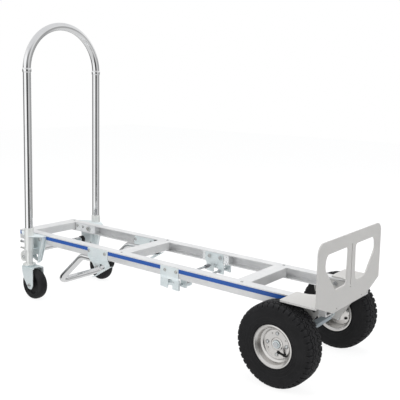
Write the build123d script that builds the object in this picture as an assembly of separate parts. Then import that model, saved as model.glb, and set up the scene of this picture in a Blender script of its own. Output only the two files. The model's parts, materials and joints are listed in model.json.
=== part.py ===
from build123d import *
import math
import os

# Convertible hand truck, shown as a four-wheel platform truck with the push handle up.
# Millimetres, +Z up, +X (front) from the push handle to the nose plate, +Y left, floor at Z = 0.
# Everything is drawn with X = 0 on the axis of the handle tubes; save() moves it by HANDLE_X,
# so that the origin is at the centre of the footprint, on the floor.
# Y sizes are distances from the centre plane; "side" is -1 for the right and 1 for the left.

HANDLE_X = -620.0          # handle tube axis, in the finished frame
SIDES = {"right": -1, "left": 1}

# Fits and common fasteners
GAP = 0.05                 # running clearance on a radius
SNUG = 0.01                # close fit on a radius
SEAT = 0.1                 # space between a plate and the rail it lies on
SCREW_R = 4.0
SCREW_HOLE_R = SCREW_R + GAP
NUT_FLATS = 13.0

# Rails: channels open towards the centre plane
RAIL_OUT = 148.5           # outer face
RAIL_IN = 112.7            # inner edge of the flanges
RAIL_TOP, RAIL_BOT = 265.5, 226.0
RAIL_X0, RAIL_X1 = -112.0, 1347.0
WEB_IN = 144.0             # inner face of the web
FLANGE_T = 3.5
STRIPE_Z0, STRIPE_Z1 = 246.0, 260.6
STRIPE_Y = RAIL_OUT - 1.5  # floor of the stripe recess
GROOVES, GROOVE_TOP, GROOVE_PITCH = 6, 243.6, 3.0

# Plates bolted to the outer and inner sides of the rails
PLATE_Y0 = RAIL_OUT + SEAT
PLATE_Y1 = PLATE_Y0 + 3.0
INNER_Y1 = RAIL_IN - SEAT
INNER_Y0 = INNER_Y1 - 2.5
CLAMP_Y0 = INNER_Y1 - 3.0
NUT_Y0, NUT_Y1 = 104.6, INNER_Y0 - GAP

# Holes through the rail webs: (x, z)
PIVOT_SCREWS = [(-40.0, 250.0), (-4.0, 250.0)]
ARM_RIVETS = [(328.0, 249.0), (416.0, 249.0)]
LATCH_SCREWS = [(722.0, 249.0), (772.0, 249.0)]
AXLE_BOLTS = [(1180.0, 237.6), (1249.0, 250.0), (1309.0, 240.0)]

# Crossbars: first X, last X, X of the rivets
CROSSBARS = {
    "rear": (RAIL_X0, -56.0, -84.0),
    "middle": (457.0, 512.0, 487.0),
    "front": (1006.0, 1058.0, 1036.0),
}
CROSSBAR_DEPTH, CROSSBAR_T = 32.0, 3.0
CROSSBAR_Y = RAIL_IN - SEAT
TAB_BOT = RAIL_TOP - 6.6   # underside of the crossbar end tabs
RIVET_Y, RIVET_R = 131.5, 2.4

# Fold pivot
PIVOT_X, PIVOT_Z, PIVOT_R = 33.0, 247.0, 6.0
CARRIER_Y0, CARRIER_Y1 = 153.0, 156.0
CROSS_X, CROSS_Z, CROSS_R = -36.0, 184.0, 12.5

# Push handle: two tubes joined by a half-circle loop
TUBE_Y, TUBE_R, TUBE_RI = 186.5, 15.9, 14.4
TUBE_BOT, LOOP_Z = 205, 943.0


# ---------------------------------------------------------------- helpers
# Outlines are (u, v) or (u, v, corner radius) points.

def round_corner(before, point, after, radius):
    """Start, middle and end of the arc that rounds a corner."""
    dir_a, dir_b = (before - point).normalized(), (after - point).normalized()
    angle = math.acos(max(-1.0, min(1.0, dir_a.dot(dir_b))))
    setback = radius / math.tan(angle / 2)
    bisector = (dir_a + dir_b).normalized()
    middle = point + bisector * (radius / math.sin(angle / 2) - radius)
    return point + dir_a * setback, middle, point + dir_b * setback


def path_edges(points, closed):
    """Lines and corner arcs through (x, y, z, corner radius) points."""
    places = [Vector(*point[:-1]) for point in points]
    count = len(places)
    ends = []
    for i, place in enumerate(places):
        radius = points[i][-1]
        if radius <= 0 or (not closed and i in (0, count - 1)):
            ends.append((place, None, place))
        else:
            ends.append(round_corner(places[i - 1], place, places[(i + 1) % count], radius))
    edges = []
    for i, (start, middle, end) in enumerate(ends):
        if middle is not None:
            edges.append(Edge.make_three_point_arc(start, middle, end))
        if closed or i < count - 1:
            following = ends[(i + 1) % count][0]
            if (following - end).length > 1e-6:
                edges.append(Edge.make_line(end, following))
    return edges


def face(outline):
    points = [(u, v, 0.0, *(radius or [0])) for u, v, *radius in outline]
    return Face(Wire(path_edges(points, True)))


def flip_u(outline, side):
    return [(side * u, *rest) for u, *rest in outline]


def flip_v(outline, side):
    return [(u, side * v, *rest) for u, v, *rest in outline]


def along_x(outline, x0, x1):
    """Extrude a (y, z) outline."""
    return extrude(Plane.YZ.offset(x0) * face(outline), amount=x1 - x0, dir=(1, 0, 0))


def along_y(outline, y0, y1):
    """Extrude an (x, z) outline."""
    low, high = min(y0, y1), max(y0, y1)
    return extrude(Plane.XZ.offset(-low) * face(outline), amount=high - low, dir=(0, 1, 0))


def along_z(outline, z0, z1):
    """Extrude an (x, y) outline."""
    return extrude(Plane.XY.offset(z0) * face(outline), amount=z1 - z0, dir=(0, 0, 1))


def rod(start, end, radius):
    start, end = Vector(*start), Vector(*end)
    axis = end - start
    return Plane(origin=start, z_dir=axis) * Cylinder(
        radius, axis.length, align=(Align.CENTER, Align.CENTER, Align.MIN)
    )


def rod_x(y, z, x0, x1, radius):
    return rod((x0, y, z), (x1, y, z), radius)


def rod_y(x, z, y0, y1, radius):
    return rod((x, min(y0, y1), z), (x, max(y0, y1), z), radius)


def rod_z(x, y, z0, z1, radius):
    return rod((x, y, z0), (x, y, z1), radius)


def ring_y(x, z, y0, y1, outer, inner):
    """Tube or washer along Y."""
    low, high = min(y0, y1), max(y0, y1)
    return rod_y(x, z, low, high, outer) - rod_y(x, z, low - 1, high + 1, inner)


def drill(part, places, y0, y1, radius=SCREW_HOLE_R):
    """Cut holes along Y at (x, z) places."""
    for x, z in places:
        part -= rod_y(x, z, y0, y1, radius)
    return part


def block(x0, x1, y0, y1, z0, z1):
    y0, y1 = min(y0, y1), max(y0, y1)
    centre = Pos((x0 + x1) / 2, (y0 + y1) / 2, (z0 + z1) / 2)
    return centre * Box(x1 - x0, y1 - y0, z1 - z0)


def turned_y(outline, x, z, side=1, y=0):
    """Revolve a (radius, y) outline about the line parallel to Y at (x, z)."""
    return Pos(x, y, z) * revolve(face(flip_v(outline, side)), Axis.Y)


def turned_z(outline, x, y):
    """Revolve a (radius, z) outline about the vertical line at (x, y)."""
    return Pos(x, y, 0) * revolve(Plane.XZ * face(outline), Axis.Z)


def hexagon_y(x, z, y0, y1, flats):
    low, high = min(y0, y1), max(y0, y1)
    hexagon = RegularPolygon(flats / 2, 6, major_radius=False)
    return Pos(x, low, z) * (Plane.XZ * extrude(hexagon, amount=-(high - low)))


def both(build):
    """Parts from build(side) for the right, then the left; it may return a list."""
    parts = []
    for side in SIDES.values():
        built = build(side)
        parts += built if isinstance(built, list) else [built]
    return parts


def save(name, *parts):
    items = [Pos(HANDLE_X, 0, 0) * solid for part in parts for solid in part.solids()]
    shape = items[0] if len(items) == 1 else Compound(children=items)
    shape.label = name
    export_step(shape, f"parts/{name}.step")


os.makedirs("parts", exist_ok=True)


# ---------------------------------------------------------------- rails
def drill_web(part, side):
    """Cut every hole that passes through a rail web."""
    places = PIVOT_SCREWS + ARM_RIVETS + LATCH_SCREWS + AXLE_BOLTS
    part = drill(part, places, side * 140, side * 150)
    return drill(part, [(PIVOT_X, PIVOT_Z)], side * 140, side * 150, PIVOT_R + GAP)


def rail(side):
    outline = [
        (RAIL_OUT, RAIL_TOP, 1.2), (RAIL_OUT, STRIPE_Z1), (STRIPE_Y, STRIPE_Z1),
        (STRIPE_Y, STRIPE_Z0), (RAIL_OUT, STRIPE_Z0),
    ]
    # fine grooves along the outer face
    for i in range(GROOVES):
        z = GROOVE_TOP - i * GROOVE_PITCH
        floor_y = RAIL_OUT - 0.6
        outline += [(RAIL_OUT, z), (floor_y, z - 0.35), (floor_y, z - 0.85), (RAIL_OUT, z - 1.2)]
    outline += [
        (RAIL_OUT, RAIL_BOT, 1.0),
        (RAIL_IN, RAIL_BOT, 0.8),
        (RAIL_IN, RAIL_BOT + FLANGE_T, 0.8),
        (WEB_IN, RAIL_BOT + FLANGE_T, 1.5),
        (WEB_IN, RAIL_TOP - FLANGE_T, 1.5),
        (RAIL_IN, RAIL_TOP - FLANGE_T, 0.8),
        (RAIL_IN, RAIL_TOP, 0.8),
    ]
    part = drill_web(along_x(flip_u(outline, side), RAIL_X0, RAIL_X1), side)
    for _, _, x in CROSSBARS.values():
        part -= rod_z(x, side * RIVET_Y, 255, 270, RIVET_R + GAP)
    return part


def rail_stripe(side):
    strip = block(
        RAIL_X0, RAIL_X1, side * STRIPE_Y, side * (STRIPE_Y + 1.0),
        STRIPE_Z0 + 0.15, STRIPE_Z1 - 0.15,
    )
    return drill_web(strip, side)


rails = {name: rail(side) for name, side in SIDES.items()}
for name, part in rails.items():
    save(f"rail_{name}", part)
save("rail_stripes", *both(rail_stripe))


# ---------------------------------------------------------------- crossbars
def crossbar(x0, x1, rivet_x):
    """Channel open downwards, with end tabs under the top flanges of the rails."""
    bottom = RAIL_TOP - CROSSBAR_DEPTH
    under = RAIL_TOP - CROSSBAR_T
    bar = along_y(
        [
            (x0, bottom, 0.5), (x0, RAIL_TOP, 2.0), (x1, RAIL_TOP, 2.0), (x1, bottom, 0.5),
            (x1 - CROSSBAR_T, bottom, 0.5), (x1 - CROSSBAR_T, under, 1.0),
            (x0 + CROSSBAR_T, under, 1.0), (x0 + CROSSBAR_T, bottom, 0.5),
        ],
        -CROSSBAR_Y, CROSSBAR_Y,
    )
    for side in SIDES.values():
        root, end = side * (CROSSBAR_Y - 6), side * CROSSBAR_Y
        bar += block(x0 + 6, x1 - 6, root, end, TAB_BOT, RAIL_TOP - 2.9)
        bar += block(x0 + 6, x1 - 6, root, side * 142.0, TAB_BOT, RAIL_TOP - 3.6)
        bar -= rod_z(rivet_x, side * RIVET_Y, 250, 270, RIVET_R + GAP)
    return bar


def crossbar_rivet(x, y):
    head = [
        (0, RAIL_TOP), (5.0, RAIL_TOP), (5.0, RAIL_TOP + 0.6),
        (3.2, RAIL_TOP + 1.9), (0, RAIL_TOP + 2.2),
    ]
    rivet = rod_z(x, y, TAB_BOT, RAIL_TOP, RIVET_R)
    rivet += turned_z(head, x, y)
    return rivet + rod_z(x, y, TAB_BOT - 1.8, TAB_BOT, 3.8)


for name, stations in CROSSBARS.items():
    save(f"crossbar_{name}", crossbar(*stations))
crossbar_rivets = [
    crossbar_rivet(x, side * RIVET_Y) for _, _, x in CROSSBARS.values() for side in SIDES.values()
]

# ---------------------------------------------------------------- nose plate
NOSE_X0 = RAIL_X1
NOSE_X1 = NOSE_X0 + 4.0
NOSE_Y = 217.7             # half width
NOSE_TOP, NOSE_FOLD = 456.6, 271.5
NOSE_BOT_Y, NOSE_BOT = 112.6, 229.6
TAB_X0, TAB_IN = 1229.0, 115.0  # rear end and inner edge of the flange's side tabs
FLANGE_DEPTH = 6.0


def nose_plate():
    cut_x = (NOSE_X0 - 5, NOSE_X1 + 5)
    plate = along_x(
        [
            (-NOSE_BOT_Y, NOSE_BOT, 3), (NOSE_BOT_Y, NOSE_BOT, 3), (NOSE_Y, NOSE_FOLD, 3),
            (NOSE_Y, NOSE_TOP, 30), (-NOSE_Y, NOSE_TOP, 30), (-NOSE_Y, NOSE_FOLD, 3),
        ],
        NOSE_X0, NOSE_X1,
    )
    window = [
        (25.0, 417.5, 12), (170.0, 417.5, 22), (174.0, 376.0, 26),
        (104.0, 299.0, 22), (29.0, 299.0, 20),
    ]
    notch = [(84, 236), (90, 236), (90, 240), (84, 240)]
    for side in SIDES.values():
        plate -= along_x(flip_u(window, side), *cut_x)
        plate -= along_x(flip_u(notch, side), *cut_x)
    # pressed rib: a shallow groove in front, a ridge behind
    groove = [(-3.0, 292, 2.5), (3.0, 292, 2.5), (3.0, 424, 2.5), (-3.0, 424, 2.5)]
    ridge = [(-5.0, 290, 4.5), (5.0, 290, 4.5), (5.0, 426, 4.5), (-5.0, 426, 4.5)]
    plate -= along_x(groove, NOSE_X1 - 1.6, NOSE_X1 + 5)
    plate += along_x(ridge, NOSE_X0 - 1.6, NOSE_X0)
    plate -= along_x([(-4.0, 284), (4.0, 284), (4.0, 287), (-4.0, 287)], *cut_x)
    # flange folded back over the rails
    half = [
        (NOSE_X0 + 1, -NOSE_Y), (TAB_X0, -NOSE_Y, 4), (TAB_X0, -TAB_IN, 6),
        (1268.0, -TAB_IN, 30), (1306.0, -92.0, 24),
    ]
    outline = half + flip_v(half[::-1], -1)
    return plate + along_z(outline, NOSE_FOLD - FLANGE_DEPTH, NOSE_FOLD)


nose = nose_plate()
save("nose_plate", nose)


# ---------------------------------------------------------------- inserts in the rail channels
def rail_insert(x0, x1, screws, side):
    part = block(
        x0, x1, side * (RAIL_IN + 0.3), side * (WEB_IN - GAP),
        RAIL_BOT + FLANGE_T + GAP, RAIL_TOP - FLANGE_T - GAP,
    )
    # corners clear the channel's inner radii
    web_edges = part.edges().filter_by(Axis.X).group_by(Axis.Y)[-1 if side > 0 else 0]
    part = chamfer(web_edges, 1.6)
    centre = (x0 + x1) / 2
    mouth = side * (RAIL_IN - 2)
    holes = [(centre + offset, z) for offset in (-50, -27, 27, 50) for z in (236.5, 255.0)]
    part = drill(part, holes, mouth, side * (RAIL_IN + 9), 2.2)
    for offset in (-40, 33):
        start = centre + offset
        part -= block(start, start + 7, mouth, side * (RAIL_IN + 3), 241, 250)
    return drill(part, screws, side * 105, side * 150)


def pivot_insert(side):
    part = rail_insert(-50.0, 72.0, PIVOT_SCREWS, side)
    return part - rod_y(PIVOT_X, PIVOT_Z, side * 105, side * 150, PIVOT_R + GAP)


def latch_insert(side):
    return rail_insert(686.0, 808.0, LATCH_SCREWS, side)


save("rail_inserts", *both(pivot_insert), *both(latch_insert))


# ---------------------------------------------------------------- fold pivot (fixed parts)
def pivot_bracket(side):
    plate = along_y(
        [
            (-50, 262, 4), (64, 262, 4), (64, 232, 6), (34, 150, 12),
            (4, 147, 8), (-56, 166, 16), (-56, 226, 8),
        ],
        side * PLATE_Y0, side * PLATE_Y1,
    )
    plate = drill(plate, PIVOT_SCREWS, side * 148, side * 152)
    plate -= rod_y(PIVOT_X, PIVOT_Z, side * 148, side * 152, PIVOT_R + GAP)
    # lip folded inwards below the rail
    plate += block(24.0, 27.0, side * 134.0, side * 149.0, 176.0, 224.0)
    return plate - rod_y(6.0, 170.0, side * 148, side * 152, 7.0)


def cross_tube_ring(side):
    inner, outer = CROSS_R + GAP, CROSS_R + 3.5
    outline = [(inner, 124), (outer, 124, 1.5), (outer, 140, 1.5), (inner, 140)]
    return turned_y(outline, CROSS_X, CROSS_Z, side)


def pivot_bolt(side):
    seat = CARRIER_Y1 + 0.1
    head = [(0, seat), (10.0, seat), (10.0, 158.5, 1.0), (6.0, 161.6, 1.5), (0, 161.8)]
    bolt = rod_y(PIVOT_X, PIVOT_Z, side * 108.0, side * seat, PIVOT_R)
    bolt += turned_y(head, PIVOT_X, PIVOT_Z, side)
    return bolt + hexagon_y(PIVOT_X, PIVOT_Z, side * 105.5, side * 112.9, 16.0)


def pivot_washer(side):
    y0, y1 = side * (PLATE_Y1 + GAP), side * (CARRIER_Y0 - GAP)
    return ring_y(PIVOT_X, PIVOT_Z, y0, y1, 12.0, PIVOT_R + GAP)


def pivot_screws(side):
    """Screws with their heads on the inner side."""
    head = [(0, 112.95), (6.5, 112.95), (6.5, 110.6, 1.0), (4.0, 109.6), (0, 109.4)]
    return [
        rod_y(x, z, side * 112.0, side * (PLATE_Y1 - GAP), SCREW_R) + turned_y(head, x, z, side)
        for x, z in PIVOT_SCREWS
    ]


CROSS_END = PLATE_Y0 - GAP
save("pivot_brackets", *both(pivot_bracket))
save("pivot_cross_tube", ring_y(CROSS_X, CROSS_Z, -CROSS_END, CROSS_END, CROSS_R, CROSS_R - 1.8))
save("cross_tube_rings", *both(cross_tube_ring))
save("pivot_bolts", *both(pivot_bolt))
save("pivot_thrust_washers", *both(pivot_washer))

# ---------------------------------------------------------------- fixed rear U handle
ARM_R, ARM_RI = 12.7, 11.3
ARM_Y, ARM_Z, ARM_END = 131.0, 211.5, 431.0
ARM_BEND_X = 267
BAR_X, BAR_Z = 121.0, 78.0  # cross part of the U
GUSSET_Y0, GUSSET_Y1 = 143.8, 146.8


def rear_handle():
    path = Wire(path_edges(
        [
            (ARM_END, -ARM_Y, ARM_Z, 0), (ARM_BEND_X, -ARM_Y, ARM_Z, 45),
            (BAR_X, -ARM_Y, BAR_Z, 48), (BAR_X, ARM_Y, BAR_Z, 48),
            (ARM_BEND_X, ARM_Y, ARM_Z, 45), (ARM_END, ARM_Y, ARM_Z, 0),
        ],
        False,
    ))
    start = Plane(origin=(ARM_END, -ARM_Y, ARM_Z), z_dir=(-1, 0, 0))
    return sweep(start * (Circle(ARM_R) - Circle(ARM_RI)), path=path)


def arm_cap(side):
    y = side * ARM_Y
    return (
        rod_x(y, ARM_Z, ARM_END + 0.05, ARM_END + 5.0, ARM_R + 0.05)
        + rod_x(y, ARM_Z, ARM_END - 14, ARM_END + 0.1, ARM_RI - GAP)
        + rod_x(y, ARM_Z, ARM_END + 4.9, ARM_END + 6.5, ARM_R - 3.0)
    )


def arm_brackets(side):
    """Outer bracket, and the plate on the inner side of the rail."""
    x0, x1 = 321.0, ARM_END
    gusset_y = (side * GUSSET_Y0, side * GUSSET_Y1)
    outer = along_y(
        [(x0, 262, 3), (x1, 262, 3), (x1, 225.4), (x0, 225.4)], side * PLATE_Y0, side * PLATE_Y1
    )
    outer = drill(outer, ARM_RIVETS, side * 148, side * 152)
    # step inwards below the rail
    step = [(PLATE_Y0, 225.5), (PLATE_Y1, 225.5), (GUSSET_Y1, 218.9), (GUSSET_Y0, 218.9)]
    outer += along_x(flip_u(step, side), x0, x1)
    # gusset beside the handle arm
    outer += along_y(
        [
            (x0, 219), (x1, 219), (440.5, 199, 4), (372.0, 157.5), (367.9, 164.3, 1),
            (412.4, 191.2, 4), (408.0, 204.0, 4), (338.0, 204.0, 5),
        ],
        *gusset_y,
    )
    # turned-out lip along the sloping edge, with a slot
    lip = along_y(
        [(354.0, 146.6, 1), (446.0, 202.3, 1), (444.4, 204.9, 1), (352.4, 149.2, 1)],
        side * GUSSET_Y0, side * 156.5,
    )
    slot = [(384, 149.0), (408, 149.0), (408, 153.0), (384, 153.0)]
    lip -= along_z(flip_v(slot, side), 150, 200)
    outer += lip
    # seat for the arm, folded in from the gusset
    outer += along_y(
        [(402, 192.9), (402, 195.5), (x1, 198.5), (x1, 195.9)], side * 118.5, side * 144.5
    )
    inner = along_y(
        [(x0, 262, 3), (x1, 262, 3), (x1, 226.5, 3), (x0, 226.5, 3)],
        side * INNER_Y0, side * INNER_Y1,
    )
    return [outer, drill(inner, ARM_RIVETS, side * 109, side * 114)]


def arm_rivets(side):
    inner, outer = INNER_Y0 - GAP, PLATE_Y1 + GAP
    inner_head = [(0, inner), (7.0, inner), (7.0, 109.2, 0.3), (4.5, 107.6, 0.8), (0, 107.2)]
    outer_head = [(0, outer), (7.0, outer), (7.0, 152.4, 0.3), (4.5, 154.4, 1.0), (0, 154.8)]
    rivets = []
    for x, z in ARM_RIVETS:
        rivet = rod_y(x, z, side * 108.2, side * outer, SCREW_R)
        rivet += turned_y(inner_head, x, z, side)
        rivet += turned_y(outer_head, x, z, side)
        # collar against the inside of the web
        rivet += rod_y(x, z, side * 140.6, side * (WEB_IN - GAP), 6.5)
        rivets.append(rivet)
    return rivets


save("rear_handle", rear_handle())
save("rear_handle_end_caps", *both(arm_cap))
save("rear_handle_brackets", *both(arm_brackets))
save("frame_rivets", *crossbar_rivets, *both(arm_rivets))

# ---------------------------------------------------------------- latch brackets (fixed)
ROD_X, ROD_Z, ROD_R = 726.0, 212.0, 4.0
TIE_X, TIE_Z, TIE_R = 770.0, 197.0, 4.0
LATCH_Y1 = PLATE_Y0 + 2.5         # outer face of the upper plate
LOWER_Y0, LOWER_Y1 = 154.3, 156.6
# (x, z, corner radius) of the slotted lower edge, behind its front corner
LATCH_SLOT = [(762, 187, 3), (762, 221, 3), (741, 221, 3), (741, 187.5, 3), (706, 190, 3)]


def latch_bracket(side):
    part = along_y(
        [(700, 262, 2), (783, 262, 2), (783, 229), (700, 229)], side * PLATE_Y0, side * LATCH_Y1
    )
    part = drill(part, LATCH_SCREWS, side * 148, side * 152)
    # step outwards below the rail, leaving room for the hook
    top = [(700, PLATE_Y0), (783, PLATE_Y0), (783, LATCH_Y1), (700, LATCH_Y1)]
    bottom = [(706, LOWER_Y0), (790, LOWER_Y0), (790, LOWER_Y1), (706, LOWER_Y1)]
    step_top = Plane.XY.offset(229.1) * face(flip_v(top, side))
    step_bottom = Plane.XY.offset(221.9) * face(flip_v(bottom, side))
    part += loft([step_bottom, step_top])
    lower = along_y(
        [(706, 222), (790, 222), (790, 185.5, 3), *LATCH_SLOT], side * LOWER_Y0, side * LOWER_Y1
    )
    part += lower - rod_y(768.0, 213.0, side * 153, side * 161, 2.6)
    # rear wall and front lip, then the inner plate with the rod bores
    part += block(706.0, 708.4, side * 111.0, side * 155.5, 190.5, 222.0)
    part += block(787.8, 790.0, side * 149.0, side * 155.5, 186.0, 222.5)
    inner = along_y(
        [
            (700, 262, 2), (783, 262, 2), (783, 227, 3), (789, 222, 3), (789, 185.5, 3),
            *LATCH_SLOT, (706, 222, 3), (700, 227, 3),
        ],
        side * INNER_Y0, side * INNER_Y1,
    )
    part += drill(inner, LATCH_SCREWS, side * 109, side * 114)
    part -= rod_y(ROD_X, ROD_Z, side * 109, side * 114, ROD_R + GAP)
    return part - rod_y(TIE_X, TIE_Z, side * 109, side * 114, TIE_R + GAP)


def latch_screws(side):
    seat = LATCH_Y1 + GAP
    head = [(0, seat), (6.5, seat), (6.5, 151.9, 0.3), (4.2, 154.0, 1.0), (0, 154.4)]
    screws = []
    for x, z in LATCH_SCREWS:
        screw = rod_y(x, z, side * 109.0, side * seat, SCREW_R)
        screw += turned_y(head, x, z, side)
        screw += hexagon_y(x, z, side * NUT_Y0, side * NUT_Y1, NUT_FLATS)
        screws.append(screw)
    return screws


def tie_nut(side):
    nut = hexagon_y(TIE_X, TIE_Z, side * NUT_Y0, side * NUT_Y1, NUT_FLATS)
    return nut - rod_y(TIE_X, TIE_Z, side * 103, side * 112, TIE_R + SNUG)


save("latch_brackets", *both(latch_bracket))
save("latch_tie_rod", rod_y(TIE_X, TIE_Z, -152.0, 152.0, TIE_R), *both(tie_nut))


# ---------------------------------------------------------------- latch (turns on the rod axis)
def latch_hook(side):
    return along_y(
        [
            (718, 219, 5), (733, 219, 5), (735.5, 207.5, 2), (759, 207.5),
            (764, 203.0, 1.5), (756, 199.0, 3), (735, 199.0, 4), (718, 204, 5),
        ],
        side * 152.35, side * 154.2,
    )


def latch_pedal():
    """Arm hanging from the rod, with a rounded blade at its lower end."""
    blade_t = 3.0
    arm = along_y(
        [
            (ROD_X - 8, ROD_Z + 6, 5), (ROD_X + 8, ROD_Z + 6, 5), (ROD_X + 7, ROD_Z - 8, 4),
            (706, 164, 3), (698, 162, 3), (696, 168, 3), (ROD_X - 9, ROD_Z - 6, 6),
        ],
        -8.0, 8.0,
    )
    arm -= rod_y(ROD_X, ROD_Z, -20, 20, ROD_R + SNUG)
    tilted = Plane(origin=(704.0, 0, 168.0), x_dir=(0, 1, 0), z_dir=(0.93, 0, 0.37))
    blade = tilted * Box(38, 34, blade_t)
    blade = fillet(blade.edges().filter_by(lambda edge: abs(edge.length - blade_t) < 0.01), 8)
    return arm + blade


def latch_spring():
    """Coil around the left half of the rod."""
    y0, y1, turns = 76.0, 100.0, 8
    helix = Helix(pitch=(y1 - y0) / turns, height=y1 - y0, radius=6.4)
    wire = Plane(origin=helix @ 0, z_dir=helix % 0) * Circle(1.0)
    return Pos(ROD_X, y0, ROD_Z) * (Rot(-90, 0, 0) * sweep(wire, path=helix, is_frenet=True))


save("latch_rod", rod_y(ROD_X, ROD_Z, -152.3, 152.3, ROD_R))
save("latch_hooks", *both(latch_hook))
save("latch_pedal", latch_pedal())
save("latch_spring", latch_spring())

# ---------------------------------------------------------------- fold carriers and sleeves
SLEEVE_R, SLEEVE_RI = 19.0, 16.0
SLEEVE_Z0, SLEEVE_Z1 = 200.0, 294.0
PLUNGER_Z, PLUNGER_R = 229.5, 4.0
GUIDE_Z, GUIDE_R = 202.0, 3.0
EAR_Y0, EAR_Y1 = 185.0, 188.0
EAR_SCREW = (-35.5, 164.5)        # (x, z)


def handle_sleeve(side):
    y = side * TUBE_Y
    sleeve = turned_z(
        [
            (SLEEVE_RI, SLEEVE_Z0), (SLEEVE_R, SLEEVE_Z0, 1.0),
            (SLEEVE_R, SLEEVE_Z1, 1.0), (SLEEVE_RI, SLEEVE_Z1),
        ],
        0, y,
    )
    # plunger boss and guide screw boss on the rear
    for z in (PLUNGER_Z, GUIDE_Z):
        sleeve += rod_x(y, z, -27.0, -17.5, 6.5)
    # ear hanging behind the tube
    ear = along_y(
        [
            (-24, 212, 2), (-17.4, 212, 1), (-17.4, 150, 6), (-28, 147, 5), (-50, 146, 8),
            (-57, 156, 6), (-57, 178, 8), (-44, 190, 5), (-24, 192),
        ],
        side * EAR_Y0, side * EAR_Y1,
    )
    ear -= rod_y(*EAR_SCREW, side * 184, side * 189, SCREW_HOLE_R)
    ear -= rod_y(-36.0, 183.5, side * 184, side * 189, 3.4)
    sleeve += ear
    sleeve -= rod_z(0, y, 190, 300, SLEEVE_RI)
    sleeve -= rod_x(y, PLUNGER_Z, -30, -10, PLUNGER_R + GAP)
    return sleeve - rod_x(y, GUIDE_Z, -30, -17.0, GUIDE_R + GAP)


def fold_carrier(side):
    """Upright web, top wing and front lip, with a strap to the sleeve."""
    web = along_y(
        [(-60, 263, 4), (66, 263, 2), (42.5, 186, 3), (-22, 186, 6)],
        side * CARRIER_Y0, side * CARRIER_Y1,
    )
    web -= rod_y(PIVOT_X, PIVOT_Z, side * 150, side * 160, PIVOT_R + GAP)
    wing_outline = [
        (-87, CARRIER_Y0, 3), (-87, 161, 6), (-40, 192, 26), (-18, 201, 14),
        (16, 201, 14), (40, 188, 20), (68, 166, 8), (68, CARRIER_Y0, 3),
    ]
    wing = along_z(flip_v(wing_outline, side), 260.0, 263.0)
    lip = along_y(
        [(63.0, 263.0), (66.1, 263.0), (33.0, 147.0, 1), (29.6, 147.0, 1)],
        side * CARRIER_Y0, side * 169.0,
    )
    carrier = web + wing + lip
    # lower strap, with a short upright at its rear end
    carrier += block(-14.0, 24.0, side * 155.5, side * 180.0, 205.5, 208.5)
    carrier += block(-14.0, -11.0, side * 155.5, side * 164.0, 208.4, 221.0)
    for z0, z1 in ((195, 230), (250, 270)):
        carrier -= rod_z(0, side * TUBE_Y, z0, z1, SLEEVE_R + 0.02)
    return carrier


def carrier_screws(side):
    """Ear screw and guide screw."""
    seat, y = EAR_Y1 + GAP, side * TUBE_Y
    ear_screw = rod_y(*EAR_SCREW, side * 180.0, side * seat, SCREW_R)
    head = [(0, seat), (7.5, seat), (7.5, 190.2, 0.8), (0, 192.6)]
    ear_screw += turned_y(head, *EAR_SCREW, side)
    ear_screw += hexagon_y(*EAR_SCREW, side * 179.6, side * (EAR_Y0 - GAP), 12.0)
    guide = rod_x(y, GUIDE_Z, -31.0, -17.3, GUIDE_R)
    guide += rod_x(y, GUIDE_Z, -56.0, -30.9, 3.6)
    guide += rod_x(y, GUIDE_Z, -31.5, -27.05, 5.8)
    return [ear_screw, guide]


def lock_plunger(side):
    y = side * TUBE_Y
    plunger = rod_x(y, PLUNGER_Z, -34.0, -16.1, PLUNGER_R)
    plunger += rod_x(y, PLUNGER_Z, -56.0, -31.0, 4.6)
    plunger += rod_x(y, PLUNGER_Z, -54.0, -50.0, 5.6)
    return plunger - rod_y(-46.0, PLUNGER_Z, y - 8, y + 8, 1.6)


save("handle_sleeves", *both(handle_sleeve))
save("fold_carriers", *both(fold_carrier))
save("carrier_screws", *both(carrier_screws))
for name, side in SIDES.items():
    save(f"lock_plunger_{name}", lock_plunger(side))

# ---------------------------------------------------------------- push handle (slides)
BEAD_R, BEAD_Z0, BEAD_Z1 = 18.25, 933.0, 951.0
SOCKET_R, SOCKET_RI = 14.0, 11.6
STUD_Z, STUD_R = 168.0, 6.0
CROWN_Z = 133.5                   # top of the caster fork crown
KINGPIN_R = 9.0
KINGPIN_HOLE_R = KINGPIN_R + GAP


def push_handle():
    top, bend = LOOP_Z + TUBE_Y, TUBE_Y - 0.01
    path = Wire(path_edges(
        [
            (0, -TUBE_Y, TUBE_BOT, 0), (0, -TUBE_Y, top, bend),
            (0, TUBE_Y, top, bend), (0, TUBE_Y, TUBE_BOT, 0),
        ],
        False,
    ))
    start = Plane(origin=(0, -TUBE_Y, TUBE_BOT), z_dir=(0, 0, 1))
    handle = sweep(start * (Circle(TUBE_R) - Circle(TUBE_RI)), path=path)
    bead = [
        (TUBE_R - 0.7, BEAD_Z0), (TUBE_R + 0.8, BEAD_Z0), (BEAD_R, BEAD_Z0 + 4, 2),
        (BEAD_R, BEAD_Z1 - 4, 2), (TUBE_R + 0.8, BEAD_Z1), (TUBE_R - 0.7, BEAD_Z1),
    ]
    for side in SIDES.values():
        handle += turned_z(bead, 0, side * TUBE_Y)
    return handle


def caster_socket(side):
    """Tube inside the handle tube, with a flange above the caster."""
    base, floor, flange = CROWN_Z + 8.5, CROWN_Z + 22, CROWN_Z + 4.55
    socket = turned_z(
        [
            (KINGPIN_HOLE_R, base), (SOCKET_R, base), (SOCKET_R, 300.0),
            (SOCKET_RI, 300.0), (SOCKET_RI, floor), (KINGPIN_HOLE_R, floor),
        ],
        0, side * TUBE_Y,
    )
    return socket + turned_z(
        [
            (KINGPIN_HOLE_R, flange), (26.0, flange, 1.5),
            (26.0, CROWN_Z + 9.0, 1.5), (KINGPIN_HOLE_R, CROWN_Z + 9.0),
        ],
        0, side * TUBE_Y,
    )


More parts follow.
